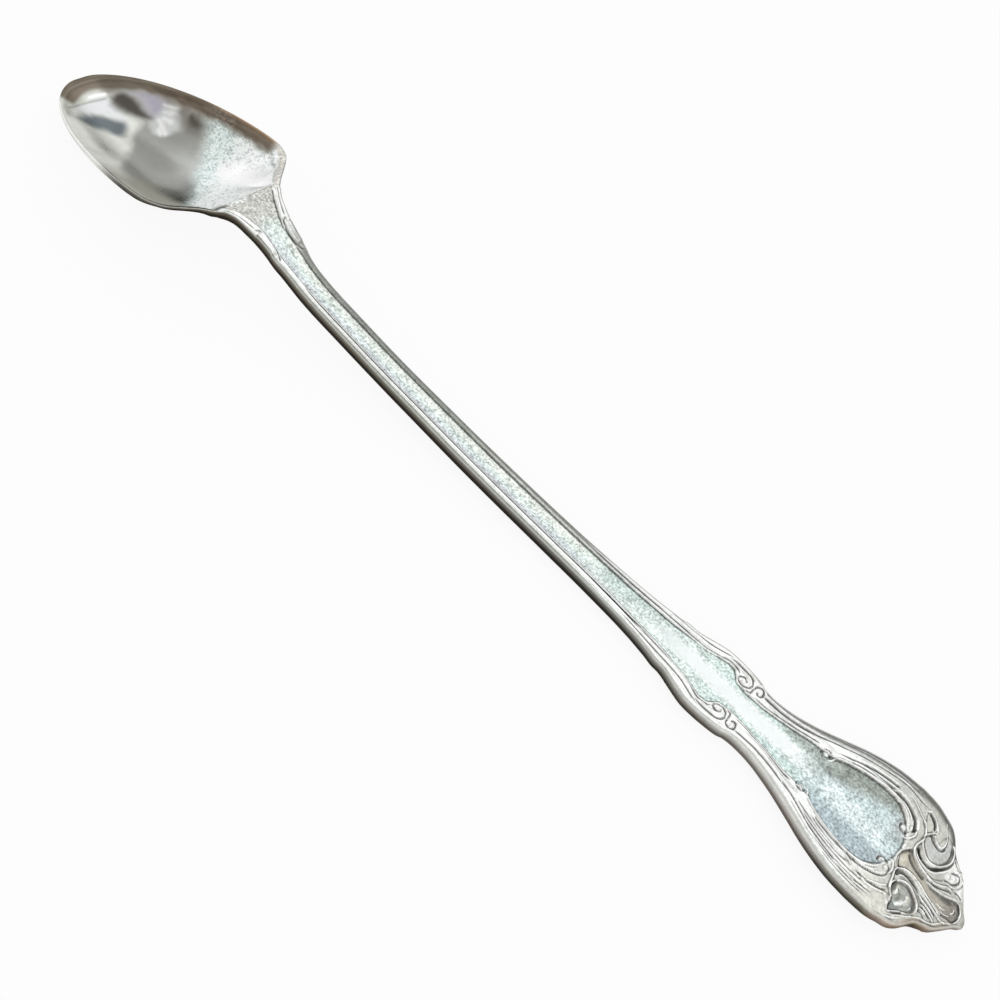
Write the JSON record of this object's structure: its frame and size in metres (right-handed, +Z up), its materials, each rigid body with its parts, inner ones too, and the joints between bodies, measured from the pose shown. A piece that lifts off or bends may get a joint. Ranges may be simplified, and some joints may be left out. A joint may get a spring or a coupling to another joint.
{
  "type": "iced tea spoon",
  "caption": "Long-handled stirring spoon with a deep egg-shaped bowl, arched neck, slender panelled stem and a broad scrolled end with raised borders and a small shell.",
  "frame": {"origin": "Centre of the footprint's box, on the plane of the table that the spoon lies on. Y 0 is the plane that the blank mirrors about.", "axes": "X runs along the spoon from the bowl's tip to the handle's tip. Y runs across it, +Y to the left of someone who looks from the bowl to the handle with the hollow up. Z is up from the table, the way the hollow faces."},
  "size_m": [0.187, 0.0272, 0.0112],
  "materials": {
    "polished_metal": "mirror polish with fine wear marks",
    "relief_metal": "polished on the crests, darker in the grooves"
  },
  "bodies": {
    "root": {"bowl": "polished_metal", "neck": "polished_metal", "stem": "polished_metal", "handle_end": "polished_metal", "left_stem_border": "relief_metal", "right_stem_border": "relief_metal", "left_end_border": "relief_metal", "right_end_border": "relief_metal", "left_neck_leaf": "relief_metal", "right_neck_leaf": "relief_metal", "left_shoulder_scroll": "relief_metal", "right_shoulder_scroll": "relief_metal", "left_panel_bead": "relief_metal", "right_panel_bead": "relief_metal", "left_panel_hook": "relief_metal", "right_panel_hook": "relief_metal", "tip_channel": "relief_metal", "tip_comma": "relief_metal", "tip_cradle": "relief_metal", "tip_curl": "relief_metal", "tip_shell": "relief_metal", "tip_shell_cap": "relief_metal", "tip_sprigs": "relief_metal"}
  },
  "joints": []
}
